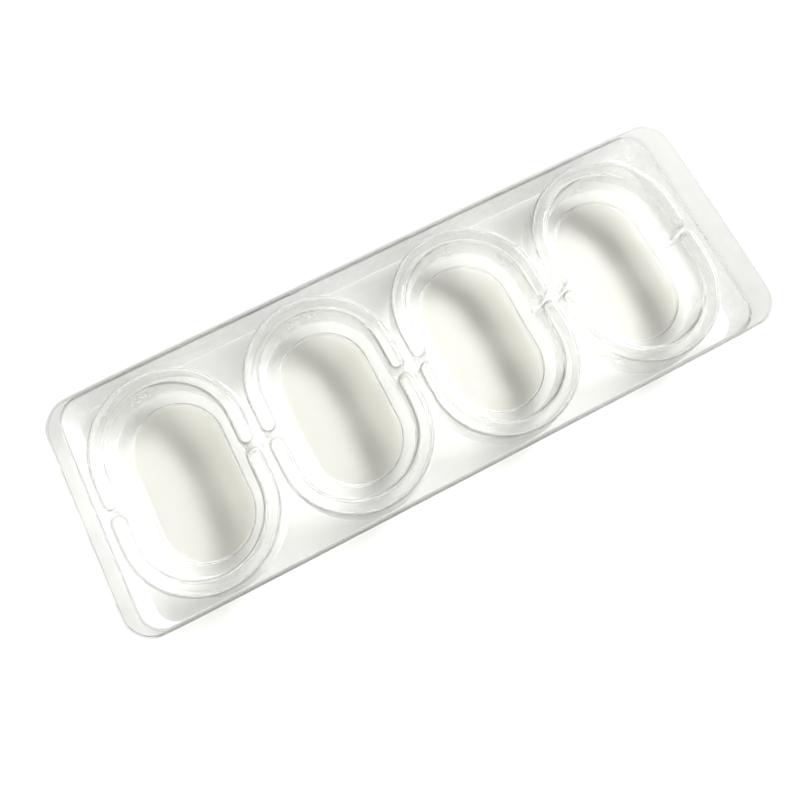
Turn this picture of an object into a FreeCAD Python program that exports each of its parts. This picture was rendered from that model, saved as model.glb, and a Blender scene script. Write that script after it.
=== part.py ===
import FreeCAD, Part
import math
import os

import Sketcher

# A clear contact lens case: a shallow rectangular carrier tray and four oval lens cups that stand
# in it side by side. Every piece is a thin clear sheet drawn to shape. Millimetres, +Z up.
# X runs along the row of cups, Y across it. The origin is on the table, under the middle of the tray.

CUP_COUNT = 4
START, END, CENTRE = 1, 2, 3        # the points of a sketch line or arc
X_AXIS, Y_AXIS = -1, -2             # a sketch's own axes, X_AXIS also holding its origin as START
LEVEL_TOLERANCE = 0.001

DIMENSIONS = [
    # alias, millimetres or degrees, meaning
    ("cup_pitch", 34.0, "middle of one cup to the middle of the next"),
    ("turn_offset", 7.5, "middle of a cup to the centre of its rounded end"),
    ("ridge_radius", 14.5, "centre of the rounded end to the middle of the rim ridge"),
    ("foot_radius", 16.7, "centre of the rounded end to the outside of the cup's foot"),
    ("ridge_height", 9.0, "cup's underside to the top of its rim ridge"),
    ("crown_radius", 1.8, "rounding over the top of the rim ridge"),
    ("floor_fillet", 3.0, "rounding between the cup's floor and its wall"),
    ("cup_sheet", 0.6, "thickness of a cup's wall"),
    ("notch_gap", 0.8, "gap between the two halves of the rim ridge at the crown"),
    ("sill_height", 2.2, "cup's underside to the top of the sill in the notch"),
    ("tray_sheet", 0.6, "thickness of the tray's wall"),
    ("cup_clearance", 0.3, "cup's foot to the tray's wall"),
    ("wall_lean", 1.5, "outward lean of the tray's wall in degrees"),
    ("rim_height", 9.4, "table to the top of the tray's rim"),
    ("well_corner", 5.0, "corner radius of the tray's well at its floor"),
    ("rim_corner", 7.0, "corner radius of the rim"),
    ("rim_half_width", 25.8, "middle of the tray to the long edge of the rim"),
    ("rim_left", 71.7, "middle of the cup row to the left edge of the rim"),
    ("rim_right", 74.1, "middle of the cup row to the right edge of the rim"),
    ("heel_fillet", 0.8, "rounding under the tray between its floor and its wall"),
    ("rim_fillet", 0.25, "rounding along the edge of the rim"),
]

# The row of cups sits off the tray's middle, because the rim is wider at the right-hand end.
ROW_CENTRE = "(dims.rim_left - dims.rim_right) / 2"
RIM_HALF_LENGTH = "(dims.rim_left + dims.rim_right) / 2"
FOOT_HALF_LENGTH = "dims.cup_pitch * %g + dims.foot_radius + dims.cup_clearance" % ((CUP_COUNT - 1) / 2)
FOOT_HALF_WIDTH = "dims.turn_offset + dims.foot_radius + dims.cup_clearance"
CROWN_CENTRE_HEIGHT = "dims.ridge_height - dims.crown_radius"
NOTCH_HALF_WIDTH = "dims.crown_radius + dims.notch_gap / 2"

document = FreeCAD.newDocument("lens_case")


def make_sheet():
    sheet = document.addObject("Spreadsheet::Sheet", "dims")
    for row, (alias, value, meaning) in enumerate(DIMENSIONS, start=1):
        sheet.set("A%d" % row, meaning)
        sheet.set("B%d" % row, repr(value))
        sheet.setAlias("B%d" % row, alias)
    document.recompute()
    return sheet


SHEET = make_sheet()


def value_of(expression):
    """The number that an expression on the sheet's cells has now."""
    return float(SHEET.evalExpression(expression))


def origin_plane(body, role):
    return next(feature for feature in body.Origin.OriginFeatures if feature.Role == role)


def new_body(label):
    body = document.addObject("PartDesign::Body", label)
    body.Label = label
    return body


def new_sketch(body, name, role, offsets):
    """A sketch on one of the body's origin planes, moved in its own X, Y and Z by the offsets."""
    sketch = body.newObject("Sketcher::SketchObject", name)
    sketch.AttachmentSupport = [(origin_plane(body, role), "")]
    sketch.MapMode = "FlatFace"
    for axis, expression in zip("xyz", offsets):
        sketch.setExpression("AttachmentOffset.Base." + axis, expression)
    return sketch


def point(x, y):
    return FreeCAD.Vector(x, y, 0)


def add_line(sketch, start, end):
    return sketch.addGeometry(Part.LineSegment(point(*start), point(*end)))


def add_arc(sketch, centre, radius, start_angle, end_angle):
    """An arc that runs anticlockwise from one angle to the other, in radians."""
    circle = Part.Circle(point(*centre), FreeCAD.Vector(0, 0, 1), radius)
    return sketch.addGeometry(Part.ArcOfCircle(circle, start_angle, end_angle))


def constrain(sketch, kind, *where):
    return sketch.addConstraint(Sketcher.Constraint(kind, *where))


def bind(sketch, kind, where, expression):
    """A dimension of the sketch that follows an expression on the sheet's cells."""
    index = constrain(sketch, kind, *where, value_of(expression))
    sketch.setExpression("Constraints[%d]" % index, expression)


def feature(body, kind, name, **settings):
    made = body.newObject("PartDesign::" + kind, name)
    for setting, value in settings.items():
        setattr(made, setting, value)
    document.recompute()
    return made


# ---------------------------------------------------------------------------------------- lens cups


def lean_angle(half_foot, centre_height, radius):
    """Lean of the straight wall that starts at the foot and meets the crown's arc smoothly."""
    to_foot = math.atan2(-centre_height, half_foot)
    return to_foot + math.acos(radius / math.hypot(half_foot, centre_height))


def ridge_lean():
    half_foot = value_of("dims.foot_radius - dims.ridge_radius")
    return lean_angle(half_foot, value_of(CROWN_CENTRE_HEIGHT), value_of("dims.crown_radius"))


def draw_cup_sheet(sketch):
    """Section of the sheet from the cup's axis to its foot: floor, fillet, wall, crown, outer wall."""
    lean = ridge_lean()
    sheet = value_of("dims.cup_sheet")
    fillet = value_of("dims.floor_fillet")
    crown = value_of("dims.crown_radius")
    middle = value_of("dims.ridge_radius")
    crown_height = value_of(CROWN_CENTRE_HEIGHT)
    foot = value_of("dims.foot_radius")

    def crown_point(radius, angle):
        return (middle + radius * math.cos(angle), crown_height + radius * math.sin(angle))

    wall_bottom = sheet + fillet * (1 - math.sin(lean))
    half_width = crown / math.cos(lean) + (crown_height - wall_bottom) * math.tan(lean)
    fillet_x = middle - half_width - fillet * math.cos(lean)
    fillet_centre = (fillet_x, sheet + fillet)

    def fillet_point(radius):
        return (fillet_x + radius * math.cos(lean), fillet_centre[1] - radius * math.sin(lean))

    inner_foot = foot - sheet / math.cos(lean)
    left = math.pi - lean

    floor_top = add_line(sketch, (0, sheet), (fillet_x, sheet))
    fillet_top = add_arc(sketch, fillet_centre, fillet, -math.pi / 2, -lean)
    wall_in = add_line(sketch, fillet_point(fillet), crown_point(crown, left))
    crown_top = add_arc(sketch, (middle, crown_height), crown, lean, left)
    wall_out = add_line(sketch, crown_point(crown, lean), (foot, 0))
    foot_edge = add_line(sketch, (foot, 0), (inner_foot, 0))
    wall_out_under = add_line(sketch, (inner_foot, 0), crown_point(crown - sheet, lean))
    crown_under = add_arc(sketch, (middle, crown_height), crown - sheet, lean, left)
    wall_in_under = add_line(sketch, crown_point(crown - sheet, left), fillet_point(fillet + sheet))
    fillet_under = add_arc(sketch, fillet_centre, fillet + sheet, -math.pi / 2, -lean)
    floor_under = add_line(sketch, (fillet_x, 0), (0, 0))
    axis_edge = add_line(sketch, (0, 0), (0, sheet))

    for smooth_joint in (
        (floor_top, END, fillet_top, START),
        (fillet_top, END, wall_in, START),
        (wall_in, END, crown_top, END),
        (crown_top, START, wall_out, START),
        (wall_out_under, END, crown_under, START),
        (crown_under, END, wall_in_under, START),
        (wall_in_under, END, fillet_under, END),
        (fillet_under, START, floor_under, START),
    ):
        constrain(sketch, "Tangent", *smooth_joint)
    for shared_point in (
        (wall_out, END, foot_edge, START),
        (foot_edge, END, wall_out_under, START),
        (floor_under, END, axis_edge, START),
        (axis_edge, END, floor_top, START),
        (fillet_top, CENTRE, fillet_under, CENTRE),
        (crown_top, CENTRE, crown_under, CENTRE),
        (floor_under, END, X_AXIS, START),
    ):
        constrain(sketch, "Coincident", *shared_point)
    for level_line in (floor_top, floor_under, foot_edge):
        constrain(sketch, "Horizontal", level_line)
    constrain(sketch, "Vertical", axis_edge)
    constrain(sketch, "PointOnObject", foot_edge, START, X_AXIS)
    constrain(sketch, "Horizontal", crown_top, START, crown_top, END)
    constrain(sketch, "Parallel", wall_out, wall_out_under)
    bind(sketch, "DistanceY", (axis_edge, START, axis_edge, END), "dims.cup_sheet")
    bind(sketch, "Radius", (fillet_top,), "dims.floor_fillet")
    bind(sketch, "Radius", (crown_top,), "dims.crown_radius")
    bind(sketch, "Radius", (crown_under,), "dims.crown_radius - dims.cup_sheet")
    bind(sketch, "DistanceX", (X_AXIS, START, crown_top, CENTRE), "dims.ridge_radius")
    bind(sketch, "DistanceY", (X_AXIS, START, crown_top, CENTRE), CROWN_CENTRE_HEIGHT)
    bind(sketch, "DistanceX", (X_AXIS, START, foot_edge, START), "dims.foot_radius")


def draw_half_ridge(sketch, bottom, thickness):
    """Right half of the ridge's section above the bottom height, set in by the thickness."""
    lean = ridge_lean()
    crown_height = value_of(CROWN_CENTRE_HEIGHT)
    radius = value_of("dims.crown_radius - " + thickness)
    low = value_of(bottom)
    tangent_point = (radius * math.cos(lean), crown_height + radius * math.sin(lean))
    low_x = radius / math.cos(lean) + (crown_height - low) * math.tan(lean)

    base = add_line(sketch, (0, low), (low_x, low))
    wall = add_line(sketch, (low_x, low), tangent_point)
    crown = add_arc(sketch, (0, crown_height), radius, lean, math.pi / 2)
    middle = add_line(sketch, (0, crown_height + radius), (0, low))

    constrain(sketch, "Coincident", base, END, wall, START)
    constrain(sketch, "Tangent", wall, END, crown, START)
    constrain(sketch, "Coincident", crown, END, middle, START)
    constrain(sketch, "Coincident", middle, END, base, START)
    constrain(sketch, "Horizontal", base)
    constrain(sketch, "PointOnObject", middle, START, Y_AXIS)
    constrain(sketch, "PointOnObject", base, START, Y_AXIS)
    constrain(sketch, "PointOnObject", crown, CENTRE, Y_AXIS)
    bind(sketch, "Radius", (crown,), "dims.crown_radius - " + thickness)
    bind(sketch, "DistanceY", (X_AXIS, START, crown, CENTRE), CROWN_CENTRE_HEIGHT)
    bind(sketch, "DistanceY", (X_AXIS, START, base, START), bottom)
    constrain(sketch, "Angle", wall, math.pi / 2 + lean)


def draw_rectangle(sketch, right, width, half_depth):
    """A rectangle that ends to the right of the sketch's origin, as deep above its X axis as below."""
    high_x, high_y = value_of(right), value_of(half_depth)
    low_x = high_x - value_of(width)
    corners = [(low_x, -high_y), (high_x, -high_y), (high_x, high_y), (low_x, high_y)]
    sides = [add_line(sketch, corners[side], corners[(side + 1) % 4]) for side in range(4)]
    for side in range(4):
        constrain(sketch, "Coincident", sides[side], END, sides[(side + 1) % 4], START)
    constrain(sketch, "Horizontal", sides[0])
    constrain(sketch, "Horizontal", sides[2])
    constrain(sketch, "Vertical", sides[3])
    constrain(sketch, "Symmetric", sides[1], START, sides[1], END, X_AXIS)
    bind(sketch, "DistanceX", (X_AXIS, START, sides[1], START), right)
    bind(sketch, "DistanceX", (sides[0], START, sides[0], END), width)
    bind(sketch, "DistanceY", (X_AXIS, START, sides[1], END), half_depth)


def make_cup(label, steps_from_middle):
    """One lens cup, drawn from one sheet: an oval well inside a hollow rim ridge in two halves."""
    body = new_body(label)
    tag = label + "_"

    # The sheet runs straight along both long sides and turns through half a circle at each end.
    section = new_sketch(body, tag + "section", "XZ_Plane", ("0", "0", "-dims.turn_offset"))
    draw_cup_sheet(section)
    document.recompute()
    side = feature(body, "Pad", tag + "side", Profile=section)
    side.setExpression("Length", "2 * dims.turn_offset")
    turn = feature(body, "Revolution", tag + "turn", Profile=section,
                   ReferenceAxis=(section, ["V_Axis"]), Angle=180)
    other_side = feature(body, "Mirrored", tag + "other_side", Originals=[side],
                         MirrorPlane=(origin_plane(body, "YZ_Plane"), [""]))
    body.Tip = other_side
    other_turn = feature(body, "Mirrored", tag + "other_turn", Originals=[turn],
                         MirrorPlane=(origin_plane(body, "XZ_Plane"), [""]))
    body.Tip = other_turn

    # The notch: both walls of the ridge are cut away above the sill, in the middle of each long side.
    above = "dims.ridge_height + 1"
    notch = new_sketch(body, tag + "notch_outline", "XY_Plane", ("0", "0", above))
    draw_rectangle(notch, "dims.foot_radius + 1", "2 * (dims.foot_radius + 1)", NOTCH_HALF_WIDTH)
    document.recompute()
    cut = feature(body, "Pocket", tag + "notch", Profile=notch)
    cut.setExpression("Length", above + " - dims.sill_height")
    document.recompute()

    # A flat sill closes the ridge's hollow between the two halves.
    sill_half_width = "dims.foot_radius - dims.ridge_radius - dims.cup_sheet / 2"
    sill = new_sketch(body, tag + "sill_outline", "XY_Plane",
                      ("0", "0", "dims.sill_height - dims.cup_sheet"))
    draw_rectangle(sill, "dims.ridge_radius + " + sill_half_width,
                   "2 * (%s)" % sill_half_width, NOTCH_HALF_WIDTH)
    document.recompute()
    plate = feature(body, "Pad", tag + "sill", Profile=sill)
    plate.setExpression("Length", "dims.cup_sheet")
    document.recompute()
    other_plate = feature(body, "Mirrored", tag + "other_sill", Originals=[plate],
                          MirrorPlane=(origin_plane(body, "YZ_Plane"), [""]))
    body.Tip = other_plate

    # Each half of the ridge ends in a hollow half dome that faces the notch.
    for x_side in (-1, 1):
        for y_side in (-1, 1):
            place = ("%d * dims.ridge_radius" % x_side, "0",
                     "%d * (%s)" % (-y_side, NOTCH_HALF_WIDTH))
            name = "%s%s_%s_" % (tag, "left" if x_side < 0 else "right", "front" if y_side < 0 else "back")
            dome = new_sketch(body, name + "dome_section", "XZ_Plane", place)
            draw_half_ridge(dome, "dims.sill_height - dims.cup_sheet", "0 * dims.cup_sheet")
            document.recompute()
            feature(body, "Revolution", name + "dome", Profile=dome,
                    ReferenceAxis=(dome, ["V_Axis"]), Angle=180, Reversed=(y_side > 0))
            hollow = new_sketch(body, name + "hollow_section", "XZ_Plane", place)
            draw_half_ridge(hollow, "dims.sill_height - 2 * dims.cup_sheet", "dims.cup_sheet")
            document.recompute()
            feature(body, "Groove", name + "hollow", Profile=hollow,
                    ReferenceAxis=(hollow, ["V_Axis"]), Angle=180, Reversed=(y_side > 0))

    body.setExpression("Placement.Base.x", "%s + dims.cup_pitch * %g" % (ROW_CENTRE, steps_from_middle))
    body.setExpression("Placement.Base.z", "dims.tray_sheet")
    document.recompute()
    return body


# ------------------------------------------------------------------------------------- carrier tray


def draw_rounded_rectangle(sketch, half_length, half_width, corner):
    """A rectangle with rounded corners, centred on the sketch's origin."""
    half_x, half_y, radius = value_of(half_length), value_of(half_width), value_of(corner)
    lines, arcs = [], []
    quarter = math.pi / 2
    for side in range(4):
        # Side 0 is the front edge, and each next side and corner is a quarter turn further round.
        along, out = (half_x, half_y) if side % 2 == 0 else (half_y, half_x)
        spin = FreeCAD.Rotation(FreeCAD.Vector(0, 0, 1), 90 * side)
        start = spin.multVec(point(radius - along, -out))
        end = spin.multVec(point(along - radius, -out))
        centre = spin.multVec(point(along - radius, radius - out))
        lines.append(add_line(sketch, (start.x, start.y), (end.x, end.y)))
        arcs.append(add_arc(sketch, (centre.x, centre.y), radius, (side - 1) * quarter, side * quarter))
    for side in range(4):
        constrain(sketch, "Tangent", lines[side], END, arcs[side], START)
        constrain(sketch, "Tangent", arcs[side], END, lines[(side + 1) % 4], START)
        constrain(sketch, "Horizontal" if side % 2 == 0 else "Vertical", lines[side])
    for side in range(1, 4):
        constrain(sketch, "Equal", arcs[0], arcs[side])
    constrain(sketch, "Symmetric", arcs[0], CENTRE, arcs[2], CENTRE, X_AXIS, START)
    bind(sketch, "Radius", (arcs[0],), corner)
    bind(sketch, "DistanceX", (X_AXIS, START, lines[1], END), half_length)
    bind(sketch, "DistanceY", (X_AXIS, START, lines[2], START), half_width)


def edges_at(shape, height):
    """Names of the edges that lie at one height."""
    names = []
    for number, edge in enumerate(shape.Edges, start=1):
        low, high = edge.BoundBox.ZMin, edge.BoundBox.ZMax
        if max(abs(low - height), abs(high - height)) < LEVEL_TOLERANCE:
            names.append("Edge%d" % number)
    return names


def make_tray(label):
    """The carrier tray: a shallow well with leaning walls and a flat rim around its mouth."""
    body = new_body(label)
    tag = label + "_"
    sheet = "dims.tray_sheet"

    outside = new_sketch(body, tag + "heel_outline", "XY_Plane", (ROW_CENTRE, "0", "0"))
    draw_rounded_rectangle(outside, "%s + %s" % (FOOT_HALF_LENGTH, sheet),
                           "%s + %s" % (FOOT_HALF_WIDTH, sheet), "dims.well_corner + " + sheet)
    document.recompute()
    block = feature(body, "Pad", tag + "wall", Profile=outside)
    block.setExpression("Length", "dims.rim_height")
    block.setExpression("TaperAngle", "dims.wall_lean")
    document.recompute()

    heel = feature(body, "Fillet", tag + "heel", Base=(block, edges_at(block.Shape, 0)))
    heel.setExpression("Radius", "dims.heel_fillet")
    document.recompute()

    rim = new_sketch(body, tag + "rim_outline", "XY_Plane", ("0", "0", "dims.rim_height - " + sheet))
    draw_rounded_rectangle(rim, RIM_HALF_LENGTH, "dims.rim_half_width", "dims.rim_corner")
    document.recompute()
    plate = feature(body, "Pad", tag + "rim", Profile=rim)
    plate.setExpression("Length", sheet)
    document.recompute()
    round_over = feature(body, "Fillet", tag + "rim_edge",
                         Base=(plate, edges_at(plate.Shape, value_of("dims.rim_height"))))
    round_over.setExpression("Radius", "dims.rim_fillet")
    document.recompute()

    inside = new_sketch(body, tag + "floor_outline", "XY_Plane", (ROW_CENTRE, "0", sheet))
    draw_rounded_rectangle(inside, FOOT_HALF_LENGTH, FOOT_HALF_WIDTH, "dims.well_corner")
    document.recompute()
    well = feature(body, "Pocket", tag + "well", Profile=inside, Reversed=True)
    well.setExpression("Length", "dims.rim_height - " + sheet)
    well.setExpression("TaperAngle", "dims.wall_lean")
    document.recompute()
    return body


# -------------------------------------------------------------------------------- build and export


def make_parts():
    parts = [make_tray("carrier_tray")]
    for number in range(CUP_COUNT):
        steps = number - (CUP_COUNT - 1) / 2
        parts.append(make_cup("lens_cup_%d" % (number + 1), steps))
    document.recompute()
    return parts


def check(parts):
    for item in document.Objects:
        if "Invalid" in item.State or "Error" in item.State:
            raise RuntimeError("%s failed: %s" % (item.Name, item.State))
    for part in parts:
        shape = part.Shape
        if shape.isNull() or not shape.isValid() or len(shape.Solids) != 1:
            raise RuntimeError("%s is not one valid solid" % part.Label)


def export(parts):
    os.makedirs("parts", exist_ok=True)
    for part in parts:
        part.Shape.exportStep("parts/%s.step" % part.Label)
        box = part.Shape.optimalBoundingBox(True, False)
        print("%-14s %7.1f mm3  x %.2f..%.2f  y %.2f..%.2f  z %.2f..%.2f" % (
            part.Label, part.Shape.Volume, box.XMin, box.XMax, box.YMin, box.YMax, box.ZMin, box.ZMax))


PARTS = make_parts()
check(PARTS)
export(PARTS)
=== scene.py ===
# %% [markdown]
# # A clear contact lens case: four oval cups in a carrier tray
#
# The real object is formed from thin clear sheet, like a blister pack. A shallow tray with a flat
# rim carries four oval cups, each with a flat floor and a hollow rounded wall round it, parted by a
# notch in the middle of both long sides. This lesson builds a smooth mesh for each piece with bmesh
# operators, and then makes plastic that bends light, because on a clear object nearly all that the
# eye sees is the light bent and mirrored by its edges.
#
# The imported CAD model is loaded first. Every size and place below starts from its boxes.

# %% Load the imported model
import math

import bmesh
import bpy
from mathutils import Euler, Matrix, Vector


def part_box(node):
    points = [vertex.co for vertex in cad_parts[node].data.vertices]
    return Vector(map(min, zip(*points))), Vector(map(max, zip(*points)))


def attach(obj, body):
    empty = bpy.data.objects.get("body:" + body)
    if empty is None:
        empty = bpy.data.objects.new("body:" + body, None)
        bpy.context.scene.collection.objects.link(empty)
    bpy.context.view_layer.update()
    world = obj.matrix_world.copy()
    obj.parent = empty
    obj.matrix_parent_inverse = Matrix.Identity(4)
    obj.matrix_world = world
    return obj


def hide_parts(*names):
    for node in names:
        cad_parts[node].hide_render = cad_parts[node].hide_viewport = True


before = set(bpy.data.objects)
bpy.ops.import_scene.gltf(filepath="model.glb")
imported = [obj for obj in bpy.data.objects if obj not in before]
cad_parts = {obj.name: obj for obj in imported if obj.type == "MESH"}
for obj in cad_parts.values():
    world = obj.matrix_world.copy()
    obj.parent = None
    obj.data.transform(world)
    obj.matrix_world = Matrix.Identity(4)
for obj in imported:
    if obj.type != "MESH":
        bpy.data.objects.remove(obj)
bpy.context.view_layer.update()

MM = 0.001

# %% [markdown]
# ## Sizes of one cup
#
# A cup's section is worked out once, in millimetres, about the middle of its underside. The outside
# sizes come from the CAD node's box. The others are the maker's own: where the ridge runs, how round
# its crown is, where the floor ends and how the shelf round it slopes. The walls lean a little, as
# they must for the sheet to leave its mould, and the lean is what joins the crown's roundness to the
# wider foot. The crown stops a little short of the box, which leaves room for the sheet's wobble.

# %% Cup sizes
CUP_NODES = ["lens_cup_1", "lens_cup_2", "lens_cup_3", "lens_cup_4"]
CUP_LOW, CUP_HIGH = [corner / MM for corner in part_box("lens_cup_1")]
SHEET = 0.6
FOOT_RADIUS = (CUP_HIGH.x - CUP_LOW.x) / 2
TURN_OFFSET = (CUP_HIGH.y - CUP_LOW.y) / 2 - FOOT_RADIUS
CUP_HEIGHT = CUP_HIGH.z - CUP_LOW.z
RIDGE_RADIUS = 14.5
CROWN_RADIUS = 1.8
WOBBLE_ROOM = 0.06
CROWN_CENTRE = CUP_HEIGHT - CROWN_RADIUS - WOBBLE_ROOM
NOTCH_GAP = 0.8
DOME_AXIS = CROWN_RADIUS + NOTCH_GAP / 2
SILL_HEIGHT = 2.2
FLOOR_TOP = 0.7
FLOOR_EDGE = 9.3
STEP_BEND, STEP_SLOPE, STEP_RISE = 0.2, 72.0, 0.3
SHELF_SLOPE, WALL_BEND = 14.0, 0.6
FOOT_LIFT = 0.05

half_foot = FOOT_RADIUS - RIDGE_RADIUS
LEAN = (math.atan(half_foot / CROWN_CENTRE)
        - math.asin(CROWN_RADIUS / math.hypot(half_foot, CROWN_CENTRE)))
print("lean of the walls: %.2f degrees, cup %.1f x %.1f x %.1f mm" % (
    math.degrees(LEAN), *(CUP_HIGH - CUP_LOW)))

# %% [markdown]
# ## Drawing a section with operators
#
# A section is a chain of edges in the XZ plane. It could be typed in as a list of points, but then
# every arc would be a table of numbers. Instead the chain grows from its tip: a straight run
# extrudes the tip, and an arc spins it about the arc's centre.

# %% Chain helpers
TINY = 0.002


def draw_to(mesh, tip, x, z):
    """Draws a straight run from the chain's tip to (x, z) and returns the new tip."""
    new_tip = bmesh.ops.extrude_vert_indiv(mesh, verts=[tip])["verts"][0]
    new_tip.co.x, new_tip.co.z = x, z
    return new_tip


def arc_on(mesh, tip, centre_x, centre_z, degrees, steps):
    """Carries the chain on along an arc, counter-clockwise with Z up, and returns the new tip."""
    made = bmesh.ops.spin(
        mesh, geom=[tip], cent=(centre_x, tip.co.y, centre_z), axis=(0, -1, 0),
        angle=math.radians(degrees), steps=steps)
    return [part for part in made["geom_last"] if isinstance(part, bmesh.types.BMVert)][0]


def wall_x(height, side):
    """Where the leaning wall stands at a height: side is 1 for the outer wall, -1 for the inner."""
    return RIDGE_RADIUS + side * (
        CROWN_RADIUS / math.cos(LEAN) + (CROWN_CENTRE - height) * math.tan(LEAN))


# %% [markdown]
# ## The cup's section
#
# The chain runs over the upper skin: from the middle of the floor, up a small steep step, along a
# gently sloping shelf, up the inner wall, over the crown, and down the outer wall to the foot. The
# tight bends matter: on clear sheet a steep bit is a line of light, and one large plain fillet would
# leave the well with no edge to see. There is a vertex on both walls at the height of the notch's
# sill, and as many vertices above it on one side as on the other, so that the rounded end of the
# ridge can be sewn to it later.

# %% Draw the section
BEND_STEPS, CROWN_STEPS = 3, 10
WALL_HEIGHTS = (5.6, 4.0, 2.9)
FOOT_HEIGHTS = (1.2, 0.35, FOOT_LIFT)
FLOOR_SHARES, SHELF_SHARES = (0.35, 0.7, 0.93, 1.0), (0.15, 0.85, 1.0)
lean_degrees = math.degrees(LEAN)
crown_side = CROWN_CENTRE + CROWN_RADIUS * math.sin(LEAN)


def draw_cup_section(mesh, y):
    """Draws the upper skin's section at a place along the cup and returns its edges."""
    tip = bmesh.ops.create_vert(mesh, co=(0, y, FLOOR_TOP))["vert"][0]
    for share in FLOOR_SHARES:
        tip = draw_to(mesh, tip, FLOOR_EDGE * share, FLOOR_TOP)
    tip = arc_on(mesh, tip, FLOOR_EDGE, FLOOR_TOP + STEP_BEND, STEP_SLOPE, BEND_STEPS)
    steep, shelf = math.radians(STEP_SLOPE), math.radians(SHELF_SLOPE)
    tip = draw_to(mesh, tip, tip.co.x + STEP_RISE / math.tan(steep), tip.co.z + STEP_RISE)
    tip = arc_on(mesh, tip, tip.co.x + STEP_BEND * math.sin(steep),
                 tip.co.z - STEP_BEND * math.cos(steep), SHELF_SLOPE - STEP_SLOPE, BEND_STEPS)
    bend_x = wall_x(SILL_HEIGHT, -1) - WALL_BEND * math.cos(LEAN)
    bend_z = SILL_HEIGHT + WALL_BEND * math.sin(LEAN)
    start_x, start_z = bend_x + WALL_BEND * math.sin(shelf), bend_z - WALL_BEND * math.cos(shelf)
    for share in SHELF_SHARES:
        tip = draw_to(mesh, tip, tip.co.x + (start_x - tip.co.x) * share,
                      tip.co.z + (start_z - tip.co.z) * share)
    tip = arc_on(mesh, tip, bend_x, bend_z, 90 - SHELF_SLOPE - lean_degrees, BEND_STEPS)
    for height in (*reversed(WALL_HEIGHTS), crown_side):
        tip = draw_to(mesh, tip, wall_x(height, -1), height)
    tip = arc_on(mesh, tip, RIDGE_RADIUS, CROWN_CENTRE, 2 * lean_degrees - 180, CROWN_STEPS)
    for height in (*WALL_HEIGHTS, SILL_HEIGHT, *FOOT_HEIGHTS):
        tip = draw_to(mesh, tip, wall_x(height, 1), height)
    return mesh.edges[:]


# %% [markdown]
# ## One quarter of the cup, then the whole
#
# The cup is the same in all four quarters, so only one is modelled. The section is spun through a
# right angle to make the round end, and extruded to make the straight side. Where the ridge stops at
# the notch, its outer half is spun half a turn about its own middle, which gives the rounded end,
# and its last column is welded to the inner wall. The low sill is the foot of that rounded end,
# extruded and flattened on to the middle plane. Two mirrors make the rest.

# %% Pick edges by where they lie
def edges_where(mesh, test):
    """The edges whose two ends both pass a test on their place."""
    return [edge for edge in mesh.edges if all(test(vertex.co) for vertex in edge.verts)]


def same(a, b):
    """Whether two lengths in millimetres are as good as equal."""
    return abs(a - b) < TINY


def extrude_edges(mesh, edges, shift):
    """Extrudes edges by a shift and returns the new edges."""
    made = bmesh.ops.extrude_edge_only(mesh, edges=edges)["geom"]
    moved = [part for part in made if isinstance(part, bmesh.types.BMVert)]
    bmesh.ops.translate(mesh, verts=moved, vec=shift)
    return [part for part in made if isinstance(part, bmesh.types.BMEdge)
            and all(vertex in moved for vertex in part.verts)]


# %% Make the cup's skin
END_STEPS, DOME_STEPS, STRAIGHT_STEPS = 12, 10, 2


def make_cup_skin():
    """The whole upper skin of one cup, in millimetres, about the middle of its underside."""
    mesh = bmesh.new()
    front = draw_cup_section(mesh, TURN_OFFSET)
    section = front + list({vertex for edge in front for vertex in edge.verts})
    bmesh.ops.spin(mesh, geom=section, cent=(0, TURN_OFFSET, 0), axis=(0, 0, 1),
                   angle=math.radians(90), steps=END_STEPS)
    for _ in range(STRAIGHT_STEPS):
        front = extrude_edges(mesh, front, (0, (DOME_AXIS - TURN_OFFSET) / STRAIGHT_STEPS, 0))

    outer_half = [edge for edge in front if all(
        vertex.co.x > RIDGE_RADIUS - TINY and vertex.co.z > SILL_HEIGHT - TINY
        for vertex in edge.verts)]
    inner_column = sorted(
        {vertex for edge in front for vertex in edge.verts
         if vertex.co.x < RIDGE_RADIUS + TINY and vertex.co.z > SILL_HEIGHT - TINY},
        key=lambda vertex: -vertex.co.z)
    half_section = outer_half + list({vertex for edge in outer_half for vertex in edge.verts})
    turned = bmesh.ops.spin(
        mesh, geom=half_section, cent=(RIDGE_RADIUS, DOME_AXIS, 0), axis=(0, 0, 1),
        angle=math.radians(-180), steps=DOME_STEPS)["geom_last"]
    last_column = sorted(
        [part for part in turned if isinstance(part, bmesh.types.BMVert)],
        key=lambda vertex: -vertex.co.z)
    bmesh.ops.weld_verts(mesh, targetmap=dict(zip(last_column, inner_column)))

    below_sill = edges_where(mesh, lambda co: same(co.y, DOME_AXIS) and co.z < SILL_HEIGHT + TINY)
    extrude_edges(mesh, below_sill, (0, -DOME_AXIS, 0))
    dome_foot = edges_where(
        mesh, lambda co: same(co.z, SILL_HEIGHT) and TINY < co.y < DOME_AXIS + TINY)
    made = bmesh.ops.extrude_edge_only(mesh, edges=dome_foot)["geom"]
    sill = [part for part in made if isinstance(part, bmesh.types.BMVert)]
    bmesh.ops.scale(mesh, vec=(1, 0, 1), verts=sill)

    bmesh.ops.remove_doubles(mesh, verts=mesh.verts[:], dist=TINY)
    for axis in ("Y", "X"):
        whole = mesh.verts[:] + mesh.edges[:] + mesh.faces[:]
        bmesh.ops.mirror(mesh, geom=whole, matrix=Matrix.Identity(4), merge_dist=TINY, axis=axis)
    bmesh.ops.remove_doubles(mesh, verts=mesh.verts[:], dist=TINY)
    bmesh.ops.recalc_face_normals(mesh, faces=mesh.faces[:])
    return mesh


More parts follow.
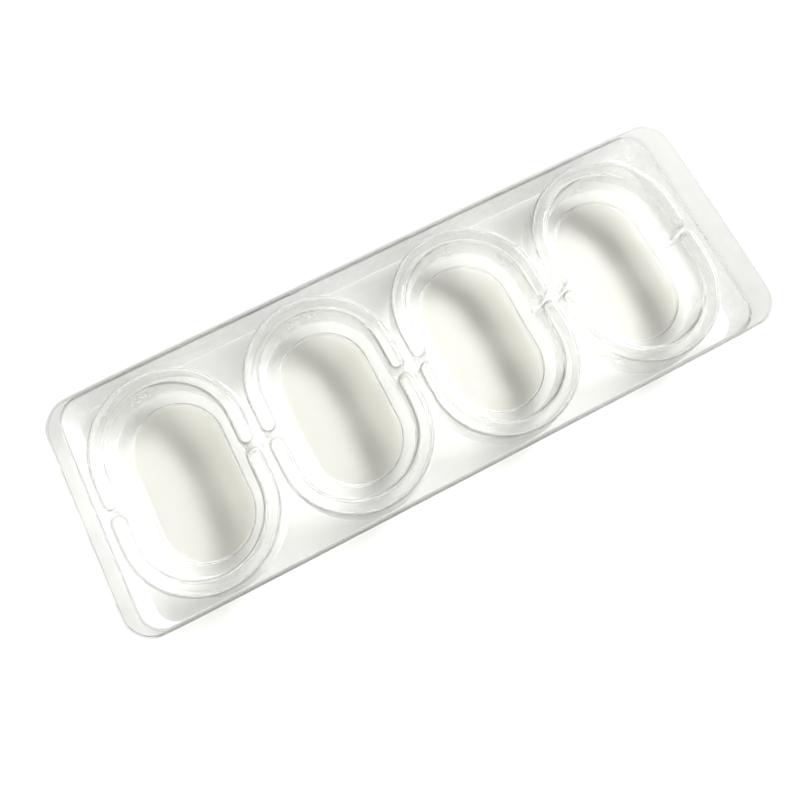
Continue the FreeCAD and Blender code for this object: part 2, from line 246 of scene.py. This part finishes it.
cup_skin = make_cup_skin()
open_edges = [edge for edge in cup_skin.edges if len(edge.link_faces) == 1]
print("cup skin: %d faces, open only at the foot: %s, loose or doubled edges: %d" % (
    len(cup_skin.faces), all(same(v.co.z, FOOT_LIFT) for e in open_edges for v in e.verts),
    sum(len(edge.link_faces) not in (1, 2) for edge in cup_skin.edges)))
floor_face = min(cup_skin.faces, key=lambda face: face.calc_center_median().length)
print("floor normal:", tuple(round(part, 2) for part in floor_face.normal))

# %% [markdown]
# ## From skin to sheet
#
# A formed part has one thickness everywhere, so each skin becomes a sheet with a Solidify modifier
# that grows it underneath. Before that a Displace modifier with soft clouds pushes the skin in and
# out by a few hundredths of a millimetre, as a real sheet cools a little unevenly; both faces of the
# sheet follow the same wobble. One Subdivision before that rounds the skin's corners, so that the
# thickness doesn't fold over itself in a tight one, and one after it rounds the sheet's cut edge.

# %% Turn a skin into a piece
WOBBLE_SPREAD, CUP_WOBBLE = 6.0, 0.16
wobble = bpy.data.textures.new("sheet_wobble", "CLOUDS")
wobble.noise_scale = WOBBLE_SPREAD * MM
wobble.noise_depth = 1


def add_modifier(piece, kind, **settings):
    """Adds a modifier to a piece and sets it."""
    modifier = piece.modifiers.new(kind.lower(), kind)
    for setting, value in settings.items():
        setattr(modifier, setting, value)


def finish_piece(mesh, name, place, body, node, wobble_height):
    """Puts a skin in its place in metres, thickens it and hangs it on its body."""
    bmesh.ops.transform(
        mesh, matrix=Matrix.Translation(place) @ Matrix.Scale(MM, 4), verts=mesh.verts[:])
    data = bpy.data.meshes.new(name)
    mesh.to_mesh(data)
    mesh.free()
    data.shade_smooth()
    piece = bpy.data.objects.new(name, data)
    bpy.context.scene.collection.objects.link(piece)
    add_modifier(piece, "SUBSURF", levels=1, render_levels=1)
    add_modifier(piece, "DISPLACE", texture=wobble, texture_coords="LOCAL",
                 strength=wobble_height * MM, mid_level=0.5)
    add_modifier(piece, "SOLIDIFY", thickness=SHEET * MM, offset=-1)
    add_modifier(piece, "SUBSURF", levels=1, render_levels=1)
    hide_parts(node)
    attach(piece, body)
    return piece


# %% Place the four cups
cups = []
for number, node in enumerate(CUP_NODES, 1):
    low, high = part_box(node)
    place = Vector(((low.x + high.x) / 2, (low.y + high.y) / 2, low.z))
    cups.append(finish_piece(
        cup_skin.copy(), "clear_cup_%d" % number, place, "cup_%d" % number, node,
        CUP_WOBBLE))
cup_skin.free()

# %% [markdown]
# ## The carrier tray
#
# The tray is a rounded rectangle that rises and spreads: floor, a tight heel, four leaning walls,
# and a flat rim that is wider at one end. It starts as a one-face grid with its corners bevelled.
# Every further level is the last outline extruded, with each round corner scaled about its own
# centre and carried to its new place. Bridging separate outlines would do for the walls, but the
# rim isn't centred on them, and the bridge would twist there.

# %% Sizes of the tray
CORNER_STEPS = 6
TRAY_LOW, TRAY_HIGH = [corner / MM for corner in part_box("carrier_tray")]
FIRST_CUP, LAST_CUP = [sum(corner.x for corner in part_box(node)) / 2 / MM
                       for node in ("lens_cup_1", "lens_cup_4")]
ROW_CENTRE = (FIRST_CUP + LAST_CUP) / 2
CUP_CLEARANCE = 0.3
TUB_HALF_LENGTH = (LAST_CUP - FIRST_CUP) / 2 + FOOT_RADIUS + CUP_CLEARANCE
TUB_HALF_WIDTH = TURN_OFFSET + FOOT_RADIUS + CUP_CLEARANCE
WELL_CORNER, RIM_CORNER = 5.0, 7.0
HEEL_BEND, RIM_BEND, WALL_SPREAD = 0.28, 0.8, 0.22
FLOOR_MARGIN, LOW_RING, HIGH_RING = 1.2, 2.0, 1.0
BEND_ANGLES = [math.radians(degrees) for degrees in (0, 30, 60, 90)]
LIP = ((0.2, 0.0), (0.06, 0.06), (0.0, 0.22))


# %% Outlines that grow
def corner_places(outline):
    """The centres of an outline's four round corners, by the side that each is on."""
    centre_x, half_length, half_width, corner = outline
    return {(side_x, side_y): Vector((
        centre_x + side_x * (half_length - corner), side_y * (half_width - corner), 0))
        for side_x in (-1, 1) for side_y in (-1, 1)}


def start_outline(mesh, outline, height):
    """A flat face that is a rectangle with round corners."""
    centre_x, half_length, half_width, corner = outline
    verts = bmesh.ops.create_grid(mesh, x_segments=1, y_segments=1, size=1)["verts"]
    bmesh.ops.scale(mesh, vec=(half_length, half_width, 1), verts=verts)
    bmesh.ops.translate(mesh, vec=(centre_x, 0, height), verts=verts)
    bmesh.ops.bevel(mesh, geom=verts, offset=corner, segments=CORNER_STEPS, profile=0.5,
                    affect="VERTICES", material=-1)
    return mesh.edges[:]


def grow_outline(mesh, edges, old, new, rise):
    """Extrudes an outline and carries its corners to their places in the next one."""
    edges = extrude_edges(mesh, edges, (0, 0, rise))
    verts = {vertex for edge in edges for vertex in edge.verts}
    corners = {side: [vertex for vertex in verts if (vertex.co.x - old[0]) * side[0] > 0
                      and vertex.co.y * side[1] > 0] for side in corner_places(old)}
    for side, corner in corners.items():
        centre, new_centre = corner_places(old)[side], corner_places(new)[side]
        bmesh.ops.scale(mesh, vec=(new[3] / old[3], new[3] / old[3], 1), verts=corner,
                        space=Matrix.Translation(-centre))
        bmesh.ops.translate(mesh, vec=new_centre - centre, verts=corner)
    return edges


# %% Make the tray's skin
def make_tray_skin():
    """The upper skin of the tray, in millimetres."""
    mesh = bmesh.new()
    floor, top = SHEET, TRAY_HIGH.z
    levels = [(-FLOOR_MARGIN, floor)]
    levels += [(HEEL_BEND * (math.sin(a) - 1), floor + HEEL_BEND * (1 - math.cos(a)))
               for a in BEND_ANGLES]
    levels += [(WALL_SPREAD / 4, floor + LOW_RING), (WALL_SPREAD * 0.9, top - RIM_BEND - HIGH_RING)]
    levels += [(WALL_SPREAD + RIM_BEND * (1 - math.cos(a)), top + RIM_BEND * (math.sin(a) - 1))
               for a in BEND_ANGLES]
    outlines = [((ROW_CENTRE, TUB_HALF_LENGTH + outset, TUB_HALF_WIDTH + outset,
                  WELL_CORNER + outset), height) for outset, height in levels]
    rim_centre, rim_half = (TRAY_LOW.x + TRAY_HIGH.x) / 2, (TRAY_HIGH.x - TRAY_LOW.x) / 2
    outlines += [((rim_centre, rim_half - inset, TRAY_HIGH.y - inset, RIM_CORNER - inset), top - drop)
                 for inset, drop in LIP]
    edges = start_outline(mesh, *outlines[0])
    for (old, low), (new, high) in zip(outlines, outlines[1:]):
        edges = grow_outline(mesh, edges, old, new, high - low)
    bmesh.ops.recalc_face_normals(mesh, faces=mesh.faces[:])
    return mesh


tray_skin = make_tray_skin()
floor_face = min(tray_skin.faces, key=lambda face: face.calc_center_median().z)
if floor_face.normal.z < 0:
    bmesh.ops.reverse_faces(tray_skin, faces=tray_skin.faces[:])
print("tray skin: %d faces, floor normal %.1f, doubled edges: %d" % (
    len(tray_skin.faces), floor_face.normal.z,
    sum(len(edge.link_faces) not in (1, 2) for edge in tray_skin.edges)))

# %% Place the tray
tray = finish_piece(
    tray_skin, "clear_tray", Vector((0, 0, 0)), "tray", "carrier_tray", 0)

# %% [markdown]
# ## Shader maths as Python
#
# The plastic's small unevenness is a few noises added and scaled. As nodes that is a tangle, so a
# socket is wrapped in a small class, and Python's own signs make the Math nodes.

# %% A socket that can be added and multiplied
class Amount:
    """A number that changes over a surface: one output socket of a material."""

    def __init__(self, recipe, socket):
        self.recipe = recipe
        self.socket = socket

    def math(self, operation, first, second):
        return self.recipe.add("ShaderNodeMath", {"operation": operation}, {0: first, 1: second})

    def __add__(self, other):
        return self.math("ADD", self, other)

    def __sub__(self, other):
        return self.math("SUBTRACT", self, other)

    def __rsub__(self, other):
        return self.math("SUBTRACT", other, self)

    def __mul__(self, other):
        return self.math("MULTIPLY", self, other)

    __radd__ = __add__
    __rmul__ = __mul__


class Recipe:
    """The node tree of one material or of the world, emptied and ready to be filled."""

    def __init__(self, owner):
        owner.use_nodes = True
        self.tree = owner.node_tree
        self.tree.nodes.clear()

    def add(self, kind, settings, inputs, output=0):
        """Adds a node: its settings first, then the values or links of its sockets."""
        node = self.tree.nodes.new(kind)
        for name, value in settings.items():
            setattr(node, name, value)
        for name, value in inputs.items():
            if isinstance(value, Amount):
                self.tree.links.new(value.socket, node.inputs[name])
            else:
                node.inputs[name].default_value = value
        return Amount(self, node.outputs[output]) if len(node.outputs) else None


# %% [markdown]
# ## Clear formed sheet
#
# The sheet is colourless, glossy plastic. Light goes through it, is bent at the crowns and edges and
# mirrored where it grazes a wall, so the shader is a Principled one with full transmission. Its
# gloss has long soft waves and fine drawn-out streaks, as bump, and a thin haze in patches, as
# roughness. Perfectly clear sheet would show its steep walls as thin black lines, and real sheet
# scatters a little, so a Diffuse shader is mixed in where the sheet is seen nearly edge-on.
#
# Glass in a renderer blocks lamps, which would leave coal-black shadows under it. So a lamp's shadow
# rays mostly pass straight through, less so where they graze. A real ridge also bends light away
# from the floor behind it, which takes a path tracer far too long to find. So the top of a ridge, on
# the lamp's side of the cup, holds part of the shadow rays back, and that gives the soft band of
# shade in each well. How much it holds back is given per cup. The pattern is centred on each piece.

# %% What the plastic is like
PLASTIC_IOR = 1.5
WAVES = {"Scale": 110.0, "Detail": 2.0, "Roughness": 0.45}
STREAKS = {"Scale": 1.0, "Detail": 3.0, "Roughness": 0.6}
STREAK_STRETCH, STREAK_SHARE = (60.0, 420.0, 200.0), 0.2
HAZE = {"Scale": 260.0, "Detail": 5.0, "Roughness": 0.6}
LEAST_ROUGH, HAZE_ROUGH, HAZY_PART_ROUGH = 0.03, 0.06, 0.05
MILK_COLOUR, MILK_BLEND, HAZY_PART_MILK = (0.9, 0.9, 0.885, 1.0), 0.35, 0.35
THROUGH_COLOUR, GRAZING_BLEND, GRAZING_SHADE = (0.985, 0.985, 0.98, 1.0), 0.12, 0.5
CROWN_FROM, CROWN_FULL = 3.2, 2.0
TOWARDS_LAMP, LAMP_SIDE_FROM, LAMP_SIDE_FULL = (0.98, 0.21, 0.0), -6, 4


# %% The plastic
def make_plastic(name, centre, crown_height, crown_shade, wave_depth, milkiness,
                 clear, darker_tint, darker_part):
    """Clear sheet centred on a piece. The last argument says where it gets a darker tint, more
    roughness and more milk; on the tray that tint is painted shade.
    """
    material = bpy.data.materials.new(name)
    recipe = Recipe(material)
    row_place = recipe.add("ShaderNodeTexCoord", {}, {}, "Object")
    place = recipe.add("ShaderNodeMapping", {}, {
        "Vector": row_place, "Location": (-centre * MM, 0, 0)})
    height = recipe.add("ShaderNodeSeparateXYZ", {}, {"Vector": place}, "Z")
    crown = recipe.add("ShaderNodeMapRange", {}, {
        "Value": height, "From Min": (crown_height - CROWN_FROM) * MM,
        "From Max": (crown_height - CROWN_FULL) * MM})
    lamp_side = recipe.add("ShaderNodeVectorMath", {"operation": "DOT_PRODUCT"}, {
        0: place, 1: TOWARDS_LAMP}, "Value")
    near_lamp = recipe.add("ShaderNodeMapRange", {}, {
        "Value": lamp_side, "From Min": LAMP_SIDE_FROM * MM, "From Max": LAMP_SIDE_FULL * MM,
        "To Min": 0.0, "To Max": crown_shade})
    waves = recipe.add("ShaderNodeTexNoise", {}, {"Vector": place, **WAVES})
    along = recipe.add("ShaderNodeMapping", {}, {"Vector": place, "Scale": STREAK_STRETCH})
    streaks = recipe.add("ShaderNodeTexNoise", {}, {"Vector": along, **STREAKS})
    haze = recipe.add("ShaderNodeTexNoise", {}, {"Vector": place, **HAZE})
    darker_share = darker_part(recipe, place, height)
    # The darker tint is painted shade on the tray, and a darker, slightly warm tone on a cup's floor.
    tint = recipe.add("ShaderNodeMix", {"data_type": "RGBA"}, {
        0: darker_share * (haze * 0.5 + 0.75), 6: (*clear, 1.0), 7: (*darker_tint, 1.0)}, 2)
    relief = recipe.add("ShaderNodeBump", {}, {
        "Height": waves + streaks * STREAK_SHARE, "Strength": 1.0, "Distance": wave_depth * MM})
    plastic = recipe.add("ShaderNodeBsdfPrincipled", {}, {
        "Base Color": tint,
        "Roughness": haze * HAZE_ROUGH + LEAST_ROUGH + darker_share * HAZY_PART_ROUGH,
        "IOR": PLASTIC_IOR, "Transmission Weight": 1.0, "Normal": relief})
    milk = recipe.add("ShaderNodeBsdfDiffuse", {}, {"Color": MILK_COLOUR})
    steep = recipe.add("ShaderNodeLayerWeight", {}, {"Blend": MILK_BLEND}, "Facing")
    sheet = recipe.add("ShaderNodeMixShader", {}, {
        0: steep * (haze * 0.5 + milkiness + darker_share * HAZY_PART_MILK), 1: plastic, 2: milk})
    let_through = recipe.add("ShaderNodeBsdfTransparent", {}, {"Color": THROUGH_COLOUR})
    lamp_ray = recipe.add("ShaderNodeLightPath", {}, {}, "Is Shadow Ray")
    grazing = recipe.add("ShaderNodeLayerWeight", {}, {"Blend": GRAZING_BLEND}, "Facing")
    surface = recipe.add("ShaderNodeMixShader", {}, {
        0: lamp_ray * (1 - grazing * GRAZING_SHADE) * (1 - crown * near_lamp),
        1: sheet, 2: let_through})
    recipe.add("ShaderNodeOutputMaterial", {}, {"Surface": surface})
    print("made", name)
    return material


# %% [markdown]
# ## Painted shade on the tray, and darker cup floors
#
# Some parts of the sheet get a darker tint, a little more roughness and a little more milk. On the
# tray that darker tint is painted shade. The rim is the darkest part, more so towards its front and
# left end, the open floor between the cups is slightly darker, and one corner of that floor, where
# the lamp lights the floor beneath, is darker still. A cup's flat floor has a darker, slightly warm
# tint with a sharp edge, while the shelf and walls round it stay bright. The parts are found by
# Object coordinates: the rim by its height, the floors by ovals, one for each cup in the tray's
# case, with the row folded into a single cup's width.

# %% Tools for the darker parts
def part_of(recipe, place, axis):
    """One coordinate of a place."""
    return recipe.add("ShaderNodeSeparateXYZ", {}, {"Vector": place}, axis)


def oval_distance(recipe, across, along):
    """Distance from the straight middle line of a cup's oval, out from it on every side."""
    beyond = recipe.add("ShaderNodeMath", {"operation": "ABSOLUTE"}, {0: along}) - TURN_OFFSET * MM
    round_end = recipe.add("ShaderNodeMath", {"operation": "MAXIMUM"}, {0: beyond, 1: 0.0})
    return recipe.add("ShaderNodeMath", {"operation": "SQRT"}, {
        0: across * across + round_end * round_end})


# %% The tray's painted shade and haze
ROW_PITCH = 34.0
RIM_FROM, RIM_FULL = 1.6, 0.5
# Painted shade on the tray, as a darker tint: the rim, the open floor and one lit corner of it.
RIM_SHADE, RIM_SHADE_TO_FRONT, RIM_SHADE_TO_LEFT = 0.78, 0.15, 0.08
CORNER_WAY, CORNER_FROM, CORNER_FULL = (0.9, 0.45), -60, -69
OPEN_FLOOR_SHADE, CORNER_SHADE = 0.2, 0.5
JUST_INSIDE_ROW = 1.999


def tray_shade_and_haze(recipe, place, height):
    """How much painted shade the tray gets as a darker tint, with a little more roughness and milk:
    most on its rim, less on its open floor, 0 where a cup stands.
    """
    rim = recipe.add("ShaderNodeMapRange", {}, {
        "Value": height, "From Min": (TRAY_HIGH.z - RIM_FROM) * MM,
        "From Max": (TRAY_HIGH.z - RIM_FULL) * MM})
    across, along = part_of(recipe, place, "X"), part_of(recipe, place, "Y")
    # Painted shade on the rim, darker towards its front and left end.
    rim = rim * (RIM_SHADE - along * (RIM_SHADE_TO_FRONT / (TRAY_HIGH.y * MM))
                 - across * (RIM_SHADE_TO_LEFT / (TRAY_HIGH.x * MM)))
    pitch = ROW_PITCH * MM
    in_row = recipe.add("ShaderNodeClamp", {}, {
        "Value": across, "Min": -JUST_INSIDE_ROW * pitch, "Max": JUST_INSIDE_ROW * pitch})
    from_cup = recipe.add("ShaderNodeMath", {"operation": "FLOORED_MODULO"}, {
        0: in_row, 1: pitch}) - pitch / 2
    # Painted shade at the corner of the open floor towards low X and low Y, where the lamp lights the
    # floor beneath.
    corner = recipe.add("ShaderNodeMapRange", {}, {
        "Value": across * CORNER_WAY[0] + along * CORNER_WAY[1], "From Min": CORNER_FROM * MM,
        "From Max": CORNER_FULL * MM, "To Min": OPEN_FLOOR_SHADE, "To Max": CORNER_SHADE})
    # Painted shade on the open floor between the cups, 0 where a cup stands.
    open_floor = recipe.add("ShaderNodeMapRange", {}, {
        "Value": oval_distance(recipe, from_cup, along),
        "From Min": (FOOT_RADIUS - 2.0) * MM, "From Max": (FOOT_RADIUS + 0.5) * MM}) * corner
    return recipe.add("ShaderNodeMath", {"operation": "MAXIMUM"}, {0: rim, 1: open_floor})


# %% A cup's darker, rougher floor
def floor_part(recipe, place, height):
    """1 on a cup's flat floor and 0 beyond its edge."""
    across, along = part_of(recipe, place, "X"), part_of(recipe, place, "Y")
    return recipe.add("ShaderNodeMapRange", {}, {
        "Value": oval_distance(recipe, across, along),
        "From Min": (FLOOR_EDGE + 0.15) * MM, "From Max": (FLOOR_EDGE - 0.1) * MM})


# %% Give each piece its plastic
CROWN_SHADES = (0.38, 0.42, 0.58, 0.75)
NO_CROWN = 30.0

# A cup's flat floor gets a darker, slightly warm tint and a little more roughness.
for piece, node, shade in zip(cups, CUP_NODES, CROWN_SHADES):
    low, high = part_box(node)
    piece.data.materials.append(make_plastic(
        piece.name + "_plastic", (low.x + high.x) / 2 / MM, CUP_HIGH.z, shade,
        wave_depth=0.26, milkiness=0.35, clear=(0.96, 0.96, 0.952), darker_tint=(0.955, 0.948, 0.912),
        darker_part=floor_part))
# The tray's darker tint is painted shade.
tray.data.materials.append(make_plastic(
    "clear_tray_plastic", ROW_CENTRE, NO_CROWN, 0.0,
    wave_depth=0.3, milkiness=0.55, clear=(0.875, 0.875, 0.863), darker_tint=(0.56, 0.56, 0.55),
    darker_part=tray_shade_and_haze))

# %% [markdown]
# ## Floor, light and camera
#
# Clear things show best on a bright floor under a bright tent: the floor burns out to plain
# white, and the object shows by the little light it takes away. A wide, low lamp on the right throws
# the shadows of the ridges across the wells, firm across the cup and soft along it. The tent is a
# little warm and the lamp a little cool, so that the shade looks warmer than the lit floor.

# %% Floor
FLOOR_DROP, PAPER_COLOUR = 0.4, (0.93, 0.93, 0.925, 1.0)
floor_mesh = bmesh.new()
bmesh.ops.create_grid(floor_mesh, x_segments=1, y_segments=1, size=2.0)
bmesh.ops.translate(floor_mesh, vec=(0, 0, -FLOOR_DROP * MM), verts=floor_mesh.verts[:])
floor_data = bpy.data.meshes.new("studio_floor")
floor_mesh.to_mesh(floor_data)
floor_mesh.free()
studio_floor = bpy.data.objects.new("studio_floor", floor_data)
bpy.context.scene.collection.objects.link(studio_floor)
paper = bpy.data.materials.new("floor_paper")
paper_recipe = Recipe(paper)
paper_surface = paper_recipe.add("ShaderNodeBsdfDiffuse", {}, {"Color": PAPER_COLOUR})
paper_recipe.add("ShaderNodeOutputMaterial", {}, {"Surface": paper_surface})
floor_data.materials.append(paper)

# %% Light tent
TENT_COLOUR = (1.0, 0.985, 0.95, 1.0)
TENT_LOW, TENT_HIGH, TENT_FULL_AT, LAMP_WALL_GAIN = 0.48, 0.86, 0.7, 0.3
world = bpy.data.worlds.new("light_tent")
bpy.context.scene.world = world
sky = Recipe(world)
direction = sky.add("ShaderNodeTexCoord", {}, {}, "Generated")
height = sky.add("ShaderNodeSeparateXYZ", {}, {"Vector": direction}, "Z")
lamp_wall = sky.add("ShaderNodeSeparateXYZ", {}, {"Vector": direction}, "X")
glow = sky.add("ShaderNodeMapRange", {"interpolation_type": "SMOOTHSTEP"}, {
    "Value": height, "From Min": 0.0, "From Max": TENT_FULL_AT,
    "To Min": TENT_LOW, "To Max": TENT_HIGH})
tent = sky.add("ShaderNodeBackground", {}, {
    "Color": TENT_COLOUR, "Strength": glow * (lamp_wall * LAMP_WALL_GAIN + 1)})
sky.add("ShaderNodeOutputWorld", {}, {"Surface": tent})

# %% The lamp
LAMP_PLACE = (1.64, 0.35, 1.09)
LAMP_WIDTH, LAMP_LENGTH, LAMP_WATTS = 1.2, 0.25, 38.0
LAMP_COLOUR = (0.97, 0.985, 1.0)


def add_lamp(name, place, aim, width, length, watts):
    """A rectangular soft lamp at a place, turned towards a point."""
    light = bpy.data.lights.new(name, "AREA")
    light.shape = "RECTANGLE"
    light.size, light.size_y = width, length
    light.energy = watts
    lamp = bpy.data.objects.new(name, light)
    lamp.location = place
    lamp.rotation_mode = "QUATERNION"
    lamp.rotation_quaternion = (Vector(aim) - Vector(place)).to_track_quat("-Z", "Y")
    bpy.context.scene.collection.objects.link(lamp)
    return lamp


key_lamp = add_lamp("window_lamp", LAMP_PLACE, (0, 0, 0), LAMP_WIDTH, LAMP_LENGTH, LAMP_WATTS)
key_lamp.visible_transmission = False
key_lamp.data.color = LAMP_COLOUR
print("lamp at", [round(part, 2) for part in key_lamp.location], "m")

# %% Camera
CAMERA_PLACE = (-20.6, -31.1, 141.4)
CAMERA_TURN = (12.32, -0.21, -27.30)
LENS = 30.3
camera_data = bpy.data.cameras.new("bench_camera")
camera_data.lens = LENS
camera_data.sensor_width = 36.0
camera_data.clip_start = 0.005
camera = bpy.data.objects.new("bench_camera", camera_data)
camera.location = Vector(CAMERA_PLACE) * MM
camera.rotation_euler = Euler([math.radians(angle) for angle in CAMERA_TURN], "XYZ")
bpy.context.scene.collection.objects.link(camera)
bpy.context.scene.camera = camera

# %% How far light may travel
MOST_BOUNCES, MOST_SHEETS = 24, 32
scene = bpy.context.scene
scene.view_settings.view_transform = "Standard"
scene.cycles.max_bounces = MOST_BOUNCES
scene.cycles.transmission_bounces = MOST_BOUNCES
scene.cycles.transparent_max_bounces = MOST_SHEETS
